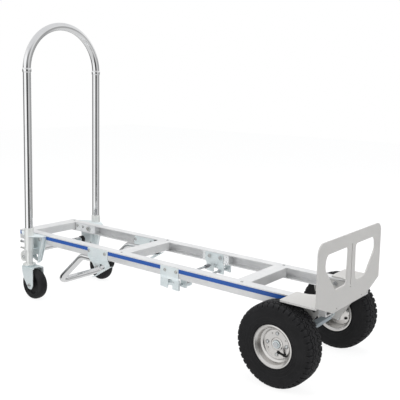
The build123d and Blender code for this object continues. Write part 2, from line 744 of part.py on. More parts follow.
def latch_stud(side):
    stud = rod_y(0, STUD_Z, side * 152.3, side * 178.0, STUD_R)
    return stud - rod_z(0, side * TUBE_Y, 150, 190, SOCKET_R + SNUG)


def kingpin(side):
    y = side * TUBE_Y
    shank = rod_z(0, y, CROWN_Z - 3.1, CROWN_Z + 21.5, KINGPIN_R)
    return shank + rod_z(0, y, CROWN_Z - 8.0, CROWN_Z - 3.08, 12.0)


save("push_handle", push_handle())
save("caster_sockets", *both(caster_socket))
save("latch_studs", *both(latch_stud))
save("kingpins", *both(kingpin))

# ---------------------------------------------------------------- casters
CASTER_R = 62.5
CASTER_HALF_W = 41.0 / 2
TRAIL = 36.0                      # wheel axis ahead of the kingpin
FORK_Y = 28.5                     # outer face of a fork leg from the caster's middle
CASTER_AXLE_R, BUSH_R = 5.0, 7.95


def caster_fork(y):
    crown_outline = [
        (-28, -16, 12), (-14, -FORK_Y, 6), (56, -FORK_Y, 3), (56, -20, 3), (42, -12, 8),
        (42, 12, 8), (56, 20, 3), (56, FORK_Y, 3), (-14, FORK_Y, 6), (-28, 16, 12),
    ]
    fork = along_z([(x, y + dy, r) for x, dy, r in crown_outline], CROWN_Z - 3, CROWN_Z)
    leg = [
        (-14, CROWN_Z, 5), (56, CROWN_Z, 3), (57, 110, 20), (57, 62, 16),
        (47, 45.5, 9), (29, 45.5, 9), (-1, 84, 22), (-10, 110, 12),
    ]
    for end in (-1, 1):
        fork += along_y(leg, y + end * (FORK_Y - 2.5), y + end * FORK_Y)
    fork -= rod_z(0, y, 120, 136, KINGPIN_HOLE_R)
    return fork - rod_y(TRAIL, CASTER_R, y - 32, y + 32, CASTER_AXLE_R + GAP)


def caster_race(y):
    low, high = CROWN_Z + GAP, CROWN_Z + 4.5
    return turned_z(
        [(KINGPIN_HOLE_R, low), (24.0, low, 1.5), (22.0, high, 1.5), (KINGPIN_HOLE_R, high)], 0, y
    )


def caster_axle(y):
    seat = FORK_Y + GAP
    axle = rod_y(TRAIL, CASTER_R, y - 33.0, y + 33.0, CASTER_AXLE_R)
    axle += hexagon_y(TRAIL, CASTER_R, y + seat, y + 33.5, 14.0)
    head = [(0, -seat), (8, -seat), (8, -31), (5, -34.5), (0, -35)]
    return axle + turned_y(head, TRAIL, CASTER_R, y=y)


def caster_tyre(y):
    half = [
        (46, -CASTER_HALF_W + 3), (52, -CASTER_HALF_W + 1, 2), (58.5, -CASTER_HALF_W + 4, 5),
        (CASTER_R, -7, 14),
    ]
    return turned_y(half + flip_v(half[::-1], -1), TRAIL, CASTER_R, y=y)


def caster_wheel(y):
    rim_y = CASTER_HALF_W - 3.5
    half = [
        (8.0, -CASTER_HALF_W), (14.0, -CASTER_HALF_W, 1), (17, -9, 3), (36, -8, 3),
        (40, -rim_y, 2), (45.95, -rim_y, 0.5),
    ]
    return turned_y(half + flip_v(half[::-1], -1), TRAIL, CASTER_R, y=y)


for name, side in SIDES.items():
    y = side * TUBE_Y
    bush = ring_y(TRAIL, CASTER_R, y - 24.5, y + 24.5, BUSH_R, CASTER_AXLE_R + GAP)
    save(f"caster_fork_{name}", caster_fork(y), caster_race(y))
    save(f"caster_axle_{name}", caster_axle(y))
    save(f"caster_tyre_{name}", caster_tyre(y))
    save(f"caster_wheel_{name}", caster_wheel(y), bush)

# ---------------------------------------------------------------- main axle and brackets
AXLE_X, AXLE_Z, AXLE_R = 1222.0, 130.0, 8.0
SPACER_R = 11.5


def axle_bracket(side):
    part = along_y(
        [
            (1160, 244.5, 3), (1228, 244.5), (1228, 262, 3), (1323, 262, 3), (1323, 231, 5),
            (1300, 196, 6), (1246, 112, 14), (1198, 112, 14), (1160, 200, 10),
        ],
        side * PLATE_Y0, side * PLATE_Y1,
    )
    # rear lip folded inwards below the rail
    lip = [(149.0, 224.5), (126.0, 224.5), (138.0, 196, 6), (149.0, 196)]
    part += along_x(flip_u(lip, side), 1160, 1163)
    part = drill(part, AXLE_BOLTS, side * 148, side * 152)
    return part - rod_y(AXLE_X, AXLE_Z, side * 140, side * 160, AXLE_R + GAP)


def axle_clamp_plate(side):
    plate = along_y(
        [(1226, 261, 3), (1340, 261, 3), (1340, 228, 4), (1290, 206, 10), (1226, 232, 4)],
        side * CLAMP_Y0, side * INNER_Y1,
    )
    return drill(plate, AXLE_BOLTS[1:], side * 109, side * 113)


def axle_screws(side):
    """The rear one ends inside the channel, the others behind the clamp plate."""
    washer_y = PLATE_Y1 + GAP
    screws = []
    for i, (x, z) in enumerate(AXLE_BOLTS):
        inner, flats = (CLAMP_Y0 - 0.1, NUT_FLATS) if i else (WEB_IN - 0.1, 11.0)
        screw = rod_y(x, z, side * inner, side * washer_y, SCREW_R)
        screw += rod_y(x, z, side * washer_y, side * 152.6, 6.5)
        screw += hexagon_y(x, z, side * (inner - 5.5), side * (inner + 0.02), flats)
        screws.append(screw)
    return screws


def nose_brace(bracket):
    """Angle strip from the right axle bracket up to the nose plate, trimmed to its neighbours."""
    start, end = Vector(1309.0, -146.0, 197.0), Vector(1346.0, -106.0, 231.0)
    thickness, overrun = 2.6, 10
    along = (end - start).normalized()
    outward = Vector(0.62, -0.75, 0.22)
    outward = (outward - along * outward.dot(along)).normalized()
    upward = outward.cross(along)
    normal = (outward * 0.62 + upward * 0.78).normalized()
    across = along.cross(normal).normalized()
    length = (end - start).length + overrun
    middle = (start + end) * 0.5
    brace = Plane(origin=middle, x_dir=along, z_dir=normal) * Box(length, 17.0, thickness)
    leg_centre = middle + across * 8.4 - normal * 5.0
    brace += Plane(origin=leg_centre, x_dir=along, z_dir=across) * Box(length, 12.6, thickness)
    brace = brace - bracket - nose - rails["right"]
    brace = brace - block(1280, 1360, -148.5, -180, 150, 260)
    brace = brace - block(NOSE_X0 - 0.05, 1370, -60, -180, 150, 290)
    brace = brace - rod_y(*AXLE_BOLTS[2], -100, -160, 8.5)
    brace = brace - block(1220, 1340.5, -100, -113, 200, 262)
    return max(brace.solids(), key=lambda solid: solid.volume)


def axle_spacer(y0, y1):
    return both(lambda side: ring_y(AXLE_X, AXLE_Z, side * y0, side * y1, SPACER_R, AXLE_R + GAP))


def axle_collar(side):
    bore = AXLE_R + SNUG
    outline = [(bore, 212.1), (12.5, 212.1, 1), (12.5, 215.5, 1), (bore, 215.5)]
    return turned_y(outline, AXLE_X, AXLE_Z, side)


axle_brackets = both(axle_bracket)
save("axle_brackets", *axle_brackets)
save("axle_clamp_plates", *both(axle_clamp_plate))
save("bracket_screws", *both(pivot_screws), *both(latch_screws), *both(axle_screws))
save("nose_braces", nose_brace(axle_brackets[0]))
save("main_axle", rod_y(AXLE_X, AXLE_Z, -219.0, 219.0, AXLE_R))
save(
    "axle_spacers",
    *axle_spacer(PLATE_Y1 + GAP, 183.9),
    *axle_spacer(139.0, PLATE_Y0 - GAP),
    *both(axle_collar),
)

# ---------------------------------------------------------------- main wheels
RIM_BOLT_R = 3.0
VALVE_ANGLE = -45.0
BEARINGS = [(185.0, 195.0), (201.0, 211.0)]

# Outlines about the axle: (radius, y, corner radius)
TYRE = [
    (62.0, 166.0, 2), (66.5, 163.5, 3), (88.0, 155.6, 18), (112.0, 154.0, 18),
    (126.5, 162.0, 7), (130.0, 172.0, 20), (130.0, 226.0, 20), (126.5, 236.0, 7),
    (112.0, 244.0, 18), (88.0, 242.4, 18), (66.5, 234.5, 3), (62.0, 232.0, 2),
    (62.0, 224.0, 2), (76.0, 228.0, 8), (98.0, 235.0, 14), (118.5, 222.0, 14),
    (118.5, 176.0, 14), (98.0, 163.0, 14), (76.0, 170.0, 8), (62.0, 174.0, 2),
]
OUTER_RIM = [
    (20.05, 207.0), (46.0, 207.0, 3), (50.0, 211.0, 3), (56.5, 214.0, 2), (58.5, 231.0, 2),
    (66.0, 234.8, 1.5), (66.4, 237.6, 1.0), (62.0, 238.4, 1.5), (55.6, 233.5, 2),
    (53.8, 217.0, 2), (47.5, 213.6, 2), (44.0, 209.5, 2), (20.05, 209.5),
]
INNER_RIM = [
    (20.05, 206.9), (46.5, 206.9), (50.5, 206.9, 1), (56.0, 208.0, 2), (58.0, 190.0, 4),
    (59.0, 167.5, 2), (66.0, 162.8, 1.5), (66.4, 160.0, 1.0), (62.0, 159.2, 1.5),
    (56.0, 164.5, 2), (55.0, 190.0, 4), (53.2, 204.4, 2), (46.0, 204.4), (20.05, 204.4),
]
HUB = [
    (13.5, 184.0), (17.0, 184.0, 1), (17.0, 201.8), (40.5, 201.8, 0.8), (40.5, 204.35),
    (20.0, 204.35), (20.0, 210.8, 0.8), (17.5, 212.0, 0.6), (13.5, 212.0),
]


def around_axle(radius, angle):
    """The (x, z) place at a radius and an angle in degrees about the axle."""
    angle = math.radians(angle)
    return AXLE_X + radius * math.cos(angle), AXLE_Z + radius * math.sin(angle)


RIM_BOLTS = [around_axle(33.0, angle) for angle in (0, 90, 180, 270)]
RIM_HOLES = [around_axle(34, angle) for angle in (30, 120, 210, 300)]
VALVE = around_axle(38.4, VALVE_ANGLE)
VALVE_TIP = around_axle(20.0, VALVE_ANGLE)


def wheel_part(outline, side):
    """Turned part with the rim bolt holes."""
    part = turned_y(outline, AXLE_X, AXLE_Z, side)
    return drill(part, RIM_BOLTS, side * 195, side * 215, RIM_BOLT_R + GAP)


def rim_bolts(side):
    head = [(0, 209.55), (6.0, 209.55), (6.0, 211.2, 0.4), (3.6, 213.3, 0.8), (0, 213.6)]
    bolts = []
    for x, z in RIM_BOLTS:
        bolt = rod_y(x, z, side * 201.75, side * 209.55, RIM_BOLT_R)
        bolt += turned_y(head, x, z, side)
        bolts.append(bolt + hexagon_y(x, z, side * 197.0, side * 201.75, 10.0))
    return bolts


def valve(side):
    """Tyre valve whose stem leans in towards the hub."""
    x, z = VALVE
    part = rod_y(x, z, side * 200.0, side * 214.0, 4.2)
    part += rod_y(x, z, side * 209.6, side * 212.0, 4.9)
    root = Vector(x, side * 212.5, z)
    tip = Vector(VALVE_TIP[0], side * 229.0, VALVE_TIP[1])
    part += rod(tuple(root), tuple(tip), 3.4)
    part += Pos(x, side * 213.5, z) * Sphere(4.1)
    cap_start = tip - (tip - root).normalized() * 7.0
    return part + rod(tuple(cap_start), tuple(tip), 4.3)


for name, side in SIDES.items():
    outer = wheel_part(OUTER_RIM, side)
    outer = drill(outer, RIM_HOLES, side * 195, side * 215, 2.2)
    outer = drill(outer, [VALVE], side * 200, side * 220, 4.3)
    inner = drill(wheel_part(INNER_RIM, side), [VALVE], side * 200, side * 220, 4.3)
    hub = drill(wheel_part(HUB, side), [VALVE], side * 200, side * 206, 6.2)
    bearings = [
        ring_y(AXLE_X, AXLE_Z, side * y0, side * y1, 13.45, AXLE_R + GAP) for y0, y1 in BEARINGS
    ]
    save(f"tyre_{name}", turned_y(TYRE, AXLE_X, AXLE_Z, side))
    save(f"rim_{name}", outer, inner)
    save(f"hub_{name}", hub)
    save(f"rim_bolts_{name}", *rim_bolts(side))
    save(f"valve_{name}", valve(side))
    save(f"hub_bearings_{name}", *bearings)
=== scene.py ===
"""A hand truck: a long frame with a looped push handle, two treaded tyres and two casters.

It stands on z = 0 with its nose towards +X and the push handle towards -X.
Its right side is at -Y. Units are metres, apart from the wheel outlines, which are in mm.
"""

import json
import math
import random

import bmesh
import bpy
import numpy as np
from mathutils import Matrix, Vector


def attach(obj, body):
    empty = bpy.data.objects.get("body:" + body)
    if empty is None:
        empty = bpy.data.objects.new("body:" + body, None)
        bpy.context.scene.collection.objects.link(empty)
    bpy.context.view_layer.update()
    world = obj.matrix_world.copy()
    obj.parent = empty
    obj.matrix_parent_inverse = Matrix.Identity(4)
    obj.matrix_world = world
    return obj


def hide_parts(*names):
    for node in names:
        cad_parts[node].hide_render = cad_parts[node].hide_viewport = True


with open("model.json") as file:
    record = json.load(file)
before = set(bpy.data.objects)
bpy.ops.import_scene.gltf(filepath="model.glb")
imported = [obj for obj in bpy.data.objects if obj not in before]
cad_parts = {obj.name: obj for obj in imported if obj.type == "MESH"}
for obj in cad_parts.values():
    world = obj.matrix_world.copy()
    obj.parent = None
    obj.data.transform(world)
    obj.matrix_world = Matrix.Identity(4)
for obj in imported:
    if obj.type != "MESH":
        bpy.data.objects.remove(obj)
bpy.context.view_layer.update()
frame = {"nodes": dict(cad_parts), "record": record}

random.seed(7)

SIDES = {"right": -1.0, "left": 1.0}  # sign of Y
MM = 1000.0  # millimetres in a metre

# Push handle
HANDLE_X = -0.620
HANDLE_HALF_WIDTH = 0.1865
HANDLE_RADIUS = 0.0159
HANDLE_WALL = 0.0015
LEG_FOOT_Z = 0.205
LEG_MIDDLE_Z = 0.5
LOOP_CENTRE_Z = 0.943
BEAD_Z = 0.933  # lower end of the swaged bead on each leg
BEAD_LENGTH = 0.018
BEAD_HEIGHT = 0.00235
BEAD_MARGIN = 0.0005  # plain tube kept just below and above the bead

# Rear handle
REAR_HALF_WIDTH = 0.131
REAR_TOP_Z = 0.2115
REAR_LOW_Z = 0.078
REAR_RADIUS = 0.0127
REAR_WALL = 0.0014

# Main wheels, which stand on the floor
MAIN_RADIUS = 130.0  # mm
MAIN_Y = 199.0  # mm
MAIN_X = 1.222 + HANDLE_X
MAIN_Z = MAIN_RADIUS / MM
TREAD_PITCHES = 41
TREAD_DEPTH = 4.2  # mm
TYRE_STEPS = 880

# Casters, in line with the legs of the push handle
CASTER_RADIUS = 62.5  # mm
CASTER_Y = HANDLE_HALF_WIDTH * MM  # mm
CASTER_X = HANDLE_X + 0.036
CASTER_Z = CASTER_RADIUS / MM


# ------------------------------------------------------------------ node helpers
class Nodes:
    """Adds nodes to one node tree. Most calls return an output socket."""

    def __init__(self, tree):
        self.tree = tree
        self.default_vector = None
        tree.nodes.clear()

    def feed(self, socket, value):
        """Link value to the socket if it is a socket too, else set it (colours may lack alpha)."""
        if isinstance(value, bpy.types.NodeSocket):
            self.tree.links.new(value, socket)
        elif socket.type == "RGBA" and len(value) == 3:
            socket.default_value = (*value, 1.0)
        else:
            socket.default_value = value

    def node(self, kind, inputs=None, **properties):
        """Add a node, set its properties and feed its inputs, keyed by name or index."""
        made = self.tree.nodes.new(kind)
        for key, value in properties.items():
            setattr(made, key, value)
        for key, value in (inputs or {}).items():
            self.feed(made.inputs[key], value)
        return made

    def math(self, operation, *values):
        return self.node("ShaderNodeMath", dict(enumerate(values)), operation=operation).outputs[0]

    def times(self, first, second):
        return self.math("MULTIPLY", first, second)

    def plus(self, first, second):
        return self.math("ADD", first, second)

    def mix(self, amount, first, second):
        inputs = {0: amount, 6: first, 7: second}
        return self.node("ShaderNodeMix", inputs, data_type="RGBA", blend_type="MIX").outputs[2]

    def shader_mix(self, amount, first, second):
        return self.node("ShaderNodeMixShader", {0: amount, 1: first, 2: second}).outputs[0]

    def split(self, vector):
        return self.node("ShaderNodeSeparateXYZ", {0: vector}).outputs

    def ramp(self, source, span, to=(0.0, 1.0)):
        """Rescale source from span to the range `to`, clamped."""
        inputs = {
            "Value": source,
            "From Min": span[0],
            "From Max": span[1],
            "To Min": to[0],
            "To Max": to[1],
        }
        return self.node("ShaderNodeMapRange", inputs, clamp=True).outputs["Result"]

    def mapping(self, scale=(1, 1, 1), rotation=(0, 0, 0)):
        inputs = {"Scale": scale, "Rotation": rotation, "Vector": self.default_vector}
        return self.node("ShaderNodeMapping", inputs).outputs[0]

    def noise(self, scale, detail, roughness, vector=None, distortion=0.0):
        inputs = {
            "Scale": scale,
            "Detail": detail,
            "Roughness": roughness,
            "Distortion": distortion,
            "Vector": vector or self.default_vector,
        }
        return self.node("ShaderNodeTexNoise", inputs).outputs["Fac"]

    def cells(self, scale):
        """Distance to the nearest Voronoi cell point."""
        inputs = {"Scale": scale, "Vector": self.default_vector}
        return self.node("ShaderNodeTexVoronoi", inputs, feature="F1").outputs["Distance"]

    def bump(self, height, strength, distance, normal=None):
        inputs = {"Strength": strength, "Distance": distance, "Height": height}
        if normal is not None:
            inputs["Normal"] = normal
        return self.node("ShaderNodeBump", inputs).outputs["Normal"]


class Surface(Nodes):
    """A material with one Principled shader, textured in object coordinates."""

    def __init__(self, name):
        self.material = bpy.data.materials.new(name)
        self.material.use_nodes = True
        super().__init__(self.material.node_tree)
        self.output = self.node("ShaderNodeOutputMaterial")
        self.shader = self.node("ShaderNodeBsdfPrincipled")
        self.feed(self.output.inputs[0], self.shader.outputs[0])
        self.default_vector = self.node("ShaderNodeTexCoord").outputs["Object"]

    def edge(self, radius):
        """A mask, 1 on edges and 0 on flats, and the rounded normal it is taken from."""
        bevel = self.node("ShaderNodeBevel", {"Radius": radius}, samples=4).outputs[0]
        true_normal = self.node("ShaderNodeNewGeometry").outputs["Normal"]
        lean = self.node(
            "ShaderNodeVectorMath", {0: bevel, 1: true_normal}, operation="DOT_PRODUCT"
        )
        return self.ramp(lean.outputs["Value"], span=(1.0, 0.65)), bevel

    def axle_distance(self):
        """Distance from the main wheels' axis, and Y along it."""
        place = self.split(self.default_vector)
        dx = self.math("SUBTRACT", place["X"], MAIN_X)
        dz = self.math("SUBTRACT", place["Z"], MAIN_Z)
        squares = self.plus(self.times(dx, dx), self.times(dz, dz))
        return self.math("SQRT", squares), place["Y"]

    def finish(self, **values):
        """Feed the Principled shader: base_color= goes to its "Base Color", and so on."""
        for key, value in values.items():
            label = key.replace("_", " ").title().replace("Ior", "IOR")
            self.feed(self.shader.inputs[label], value)
        return self.material


def tone(colour, factor, lift=0.0):
    return tuple(min(1.0, c * factor + lift) for c in colour)


# ------------------------------------------------------------------ materials
def metal(
    name, base, roughness, brush, wear, grime,
    swing=0.05, tint=None, metallic=1.0, bump=0.06, spots=0.0, dark_nose=None,
):
    """Worked metal: brushed along `brush`, cloudy, scuffed, with lighter worn edges.

    swing is how far brushing moves the roughness; dark_nose is the X range where
    a darker blue fades in.
    """
    s = Surface(name)
    brushing = s.noise(scale=90.0, detail=5, roughness=0.6, vector=s.mapping(brush))
    cloud = s.noise(scale=9.0, detail=4, roughness=0.6)
    fine = s.noise(scale=420.0, detail=3, roughness=0.5)
    edge, rounded = s.edge(radius=0.0011)
    colour = s.mix(s.ramp(brushing, span=(0.3, 0.7)), tone(base, 0.86), base)
    if tint:
        colour = s.mix(s.ramp(cloud, span=(0.42, 0.72), to=(0.0, 0.75)), colour, tint)
    dirt = s.noise(scale=26.0, detail=6, roughness=0.7, distortion=0.6)
    dirt_colour = (0.30, 0.29, 0.27)
    colour = s.mix(s.ramp(dirt, span=(0.58, 0.8), to=(0.0, grime)), colour, dirt_colour)
    if spots:
        spot = s.ramp(s.cells(scale=240.0), span=(0.0, 0.18), to=(spots, 0.0))
        spot_colour = (0.93, 0.95, 0.95)
        colour = s.mix(spot, colour, spot_colour)
    if dark_nose:
        nose = s.ramp(s.split(s.default_vector)["X"], span=dark_nose, to=(0.0, 0.85))
        nose_colour = (0.24, 0.28, 0.31)
        colour = s.mix(nose, colour, nose_colour)
    worn_colour = (0.95, 0.95, 0.94)
    colour = s.mix(s.times(edge, wear), colour, worn_colour)
    rough = s.ramp(brushing, span=(0.25, 0.75), to=(roughness - swing, roughness + swing))
    rough = s.plus(rough, s.ramp(cloud, span=(0.3, 0.7), to=(-0.04, 0.05)))
    brushing_share, fine_share = 0.7, 0.3
    height = s.plus(s.times(brushing, brushing_share), s.times(fine, fine_share))
    normal = s.bump(height, strength=bump, distance=0.0006, normal=rounded)
    return s.finish(base_color=colour, metallic=metallic, roughness=rough, normal=normal)


def chrome(name):
    """Bright plating: near mirror, with faint polish lines, smudges and a few pits."""
    s = Surface(name)
    polish = s.noise(scale=34.0, detail=3, roughness=0.5)
    smudge = s.noise(scale=16.0, detail=5, roughness=0.65, distortion=0.8)
    pit = s.ramp(s.cells(scale=300.0), span=(0.0, 0.06), to=(1.0, 0.0))
    clean, smudged, pitted = (0.90, 0.905, 0.91), (0.83, 0.84, 0.85), (0.5, 0.5, 0.5)
    pit_amount = 0.35
    colour = s.mix(s.ramp(smudge, span=(0.4, 0.75)), clean, smudged)
    colour = s.mix(s.times(pit, pit_amount), colour, pitted)
    rough = s.plus(
        s.ramp(polish, span=(0.3, 0.7), to=(0.05, 0.085)),
        s.ramp(smudge, span=(0.58, 0.85), to=(0.0, 0.10)),
    )
    normal = s.bump(polish, strength=0.012, distance=0.0006)
    return s.finish(base_color=colour, metallic=1.0, roughness=rough, normal=normal)


def turned_steel(name, base, roughness, dull_and_shade):
    """Steel turned about the main wheels' axis: fine rings, and painted shade darkening its
    corners.
    """
    s = Surface(name)
    radius, along = s.axle_distance()
    ring_vector = s.node("ShaderNodeCombineXYZ", {0: radius, 1: along}).outputs[0]
    rings = s.noise(scale=900.0, detail=3, roughness=0.6, vector=ring_vector)
    wide = s.noise(scale=160.0, detail=2, roughness=0.5, vector=ring_vector)
    cloud = s.noise(scale=15.0, detail=4, roughness=0.6)
    edge, rounded = s.edge(radius=0.0009)
    openness = s.node(
        "ShaderNodeAmbientOcclusion", {"Distance": 0.014}, samples=10, only_local=False
    ).outputs["AO"]
    colour = s.mix(s.ramp(rings, span=(0.3, 0.7)), tone(base, 0.93), base)
    colour = s.mix(s.ramp(cloud, span=(0.5, 0.75), to=(0.0, 0.35)), colour, dull_and_shade)
    # painted shade: a darker tone of the dull colour mixed in where ambient occlusion finds
    # corners and recesses
    corner = s.ramp(openness, span=(0.30, 0.80), to=(0.40, 0.0))
    colour = s.mix(corner, colour, tone(dull_and_shade, 0.55))
    worn_colour, wear = (0.95, 0.94, 0.92), 0.4
    colour = s.mix(s.times(edge, wear), colour, worn_colour)
    rough = s.plus(
        s.ramp(rings, span=(0.3, 0.7), to=(roughness - 0.03, roughness + 0.04)),
        s.ramp(cloud, span=(0.4, 0.8), to=(0.0, 0.08)),
    )
    ring_share, wide_share = 0.25, 0.5
    height = s.plus(s.times(rings, ring_share), s.times(wide, wide_share))
    normal = s.bump(height, strength=0.035, distance=0.0004, normal=rounded)
    return s.finish(base_color=colour, metallic=1.0, roughness=rough, normal=normal)


def paint(
    name, base, roughness, variation, edge_colour, wear, scuffs,
    peel=700.0, coat=0.0, bump=0.08, metallic=0.0, hatch=None,
):
    """A painted skin: fine peel, soft change of tone, scuffs and rubbed edges.

    peel is the scale of the peel grain; hatch is the scale and strength of diagonal bands.
    """
    s = Surface(name)
    cloud = s.noise(scale=6.0, detail=4, roughness=0.6)
    grain = s.noise(scale=peel, detail=2, roughness=0.5)
    streaks = s.mapping(scale=(0.6, 7, 7), rotation=(0.1, 0.25, 0.35))
    scuff = s.noise(scale=40.0, detail=6, roughness=0.7, vector=streaks)
    scuff = s.ramp(scuff, span=(0.66, 0.78), to=(0.0, scuffs))
    edge, rounded = s.edge(radius=0.0010)
    colour = s.mix(s.ramp(cloud, span=(0.3, 0.7)), tone(base, 1 - variation), base)
    peel_mask = s.ramp(grain, span=(0.35, 0.65), to=(0.0, 0.35))
    colour = s.mix(peel_mask, colour, tone(base, 1.06, lift=0.004))
    if hatch:
        hatch_scale, hatch_amount = hatch
        bands = s.node(
            "ShaderNodeTexWave",
            {"Scale": hatch_scale, "Distortion": 0.0, "Vector": s.mapping(rotation=(0, 0.7, 0))},
            bands_direction="DIAGONAL",
            wave_profile="SIN",
        ).outputs["Fac"]
        bands = s.times(s.ramp(bands, span=(0.35, 0.65)), hatch_amount)
        colour = s.mix(bands, colour, tone(base, 1.5, lift=0.02))
    colour = s.mix(scuff, colour, tone(base, 0.72, lift=0.06))
    patches = s.noise(scale=70.0, detail=5, roughness=0.7)
    rubbed = s.times(edge, s.ramp(patches, span=(0.45, 0.65), to=(0.15, 1.0)))
    colour = s.mix(s.times(rubbed, wear), colour, edge_colour)
    rough = s.ramp(cloud, span=(0.3, 0.7), to=(roughness - 0.04, roughness + 0.05))
    scuff_roughness, scuff_height = 0.5, -1.5
    rough = s.plus(rough, s.times(scuff, scuff_roughness))
    height = s.plus(grain, s.times(scuff, scuff_height))
    return s.finish(
        base_color=colour,
        roughness=rough,
        metallic=metallic,
        coat_weight=coat,
        coat_roughness=0.18,
        normal=s.bump(height, strength=bump, distance=0.0003, normal=rounded),
    )


def rubber(
    name, base, roughness, dust, grain, bump,
    specular=0.26, wear=0.30, worn=(0.045, 0.045, 0.047), edge_radius=0.0012, crown=None,
):
    """Moulded black: fine pebble, matt bloom and dust, with lighter edges that are partly wear and
    partly painted highlight.

    crown is the range of distances from the main axle over which a lighter tread tone fades in,
    partly wear and partly painted sheen on the block tops.
    """
    s = Surface(name)
    pebble = s.noise(scale=grain, detail=3, roughness=0.6)
    cloud = s.noise(scale=14.0, detail=5, roughness=0.65)
    mould = s.noise(scale=55.0, detail=4, roughness=0.6)
    edge, rounded = s.edge(edge_radius)
    colour = s.mix(s.ramp(cloud, span=(0.35, 0.7)), base, tone(base, 1.7, lift=0.004))
    dust_colour, crown_wear_and_sheen = (0.06, 0.057, 0.053), (0.0155, 0.0155, 0.0165)
    colour = s.mix(s.times(s.ramp(mould, span=(0.5, 0.78)), dust), colour, dust_colour)
    # lighter tread crown: partly a worn, dusty tone, partly painted sheen where the block tops
    # catch the light
    if crown:
        radius, _ = s.axle_distance()
        patches = s.ramp(mould, span=(0.25, 0.6), to=(0.55, 1.0))
        colour = s.mix(s.times(s.ramp(radius, span=crown), patches), colour, crown_wear_and_sheen)
    # lighter edges: partly wear, partly painted highlight along block and moulding edges
    colour = s.mix(s.times(edge, wear), colour, worn)
    rough = s.ramp(cloud, span=(0.3, 0.7), to=(roughness - 0.08, roughness + 0.08))
    pebble_roughness, mould_share = 0.06, 0.5
    rough = s.plus(rough, s.times(pebble, pebble_roughness))
    height = s.plus(pebble, s.times(mould, mould_share))
    normal = s.bump(height, strength=bump, distance=0.0004, normal=rounded)
    return s.finish(
        base_color=colour, roughness=rough, specular_ior_level=specular, normal=normal
    )


# slot: (kind of surface, its settings)
SURFACES = {
    "rail_aluminium": (metal, dict(
        base=(0.83, 0.835, 0.84), roughness=0.40, brush=(0.03, 6, 6), tint=(0.89, 0.89, 0.885),
        wear=0.25, metallic=0.55, grime=0.05, bump=0.03)),
    "stripe_blue": (paint, dict(
        base=(0.010, 0.092, 0.40), roughness=0.42, coat=0.04, variation=0.22,
        edge_colour=(0.06, 0.18, 0.50), wear=0.4, scuffs=0.15, hatch=(170.0, 0.10))),
    "nose_grey": (paint, dict(
        base=(0.56, 0.55, 0.535), roughness=0.46, peel=520.0, variation=0.04,
        edge_colour=(0.84, 0.83, 0.82), wear=0.6, scuffs=0.16, bump=0.10, metallic=0.15)),
    "bracket_grey": (paint, dict(
        base=(0.50, 0.495, 0.48), roughness=0.46, peel=520.0, variation=0.08,
        edge_colour=(0.80, 0.79, 0.78), wear=0.6, scuffs=0.25, bump=0.10, metallic=0.2)),
    "chrome_tube": (chrome, {}),
    "zinc_steel": (metal, dict(
        base=(0.79, 0.865, 0.88), roughness=0.38, brush=(3, 3, 3), tint=(0.85, 0.89, 0.885),
        wear=0.45, metallic=0.38, grime=0.08, spots=0.10, dark_nose=(0.655, 0.690))),
    "sleeve_zinc": (metal, dict(
        base=(0.84, 0.855, 0.84), roughness=0.38, brush=(9, 9, 0.6), tint=(0.87, 0.87, 0.82),
        wear=0.3, metallic=0.42, grime=0.08)),
    "fastener_steel": (metal, dict(
        base=(0.66, 0.68, 0.69), roughness=0.26, brush=(5, 5, 5), swing=0.06,
        tint=(0.72, 0.70, 0.62), wear=0.6, grime=0.22)),
    "axle_steel": (metal, dict(
        base=(0.63, 0.65, 0.67), roughness=0.27, brush=(9, 0.3, 9), swing=0.06,
        tint=(0.70, 0.70, 0.69), wear=0.3, grime=0.2)),
    # the rim's dull tone is also the base of its painted corner shade
    "rim_steel": (turned_steel, dict(
        base=(0.77, 0.755, 0.735), roughness=0.27, dull_and_shade=(0.60, 0.59, 0.57))),
    "insert_white": (paint, dict(
        base=(0.80, 0.815, 0.82), roughness=0.48, peel=800.0, variation=0.05,
        edge_colour=(0.9, 0.9, 0.9), wear=0.4, scuffs=0.25)),
    "black_plastic": (rubber, dict(
        base=(0.010, 0.010, 0.011), roughness=0.42, dust=0.12, grain=1300.0, bump=0.14)),
    # the tyre's lighter edges and crown are partly wear and partly painted highlight and sheen
    "tyre_rubber": (rubber, dict(
        base=(0.0058, 0.0058, 0.0064), roughness=0.62, dust=0.08, grain=900.0, bump=0.20,
        specular=0.24, wear=0.9, worn=(0.085, 0.085, 0.090), edge_radius=0.0018,
        crown=(0.1225, 0.1262))),
    "caster_rubber": (rubber, dict(
        base=(0.0088, 0.0088, 0.0094), roughness=0.56, dust=0.08, grain=1000.0, bump=0.16)),
    "spring_steel": (metal, dict(
        base=(0.45, 0.46, 0.48), roughness=0.30, brush=(6, 6, 6), wear=0.3, grime=0.2)),
}
MATERIALS = {name: build(name, **settings) for name, (build, settings) in SURFACES.items()}


# ------------------------------------------------------------------ mesh helpers
def shade_smooth(obj, angle):
    """Shade smooth, with edges that fold by more than angle degrees kept sharp."""
    mesh = obj.data
    mesh.polygons.foreach_set("use_smooth", [True] * len(mesh.polygons))
    bm = bmesh.new()
    bm.from_mesh(mesh)
    limit = math.radians(angle)
    for edge in bm.edges:
        edge.smooth = not (len(edge.link_faces) == 2 and edge.calc_face_angle(0.0) > limit)
    bm.to_mesh(mesh)
    bm.free()


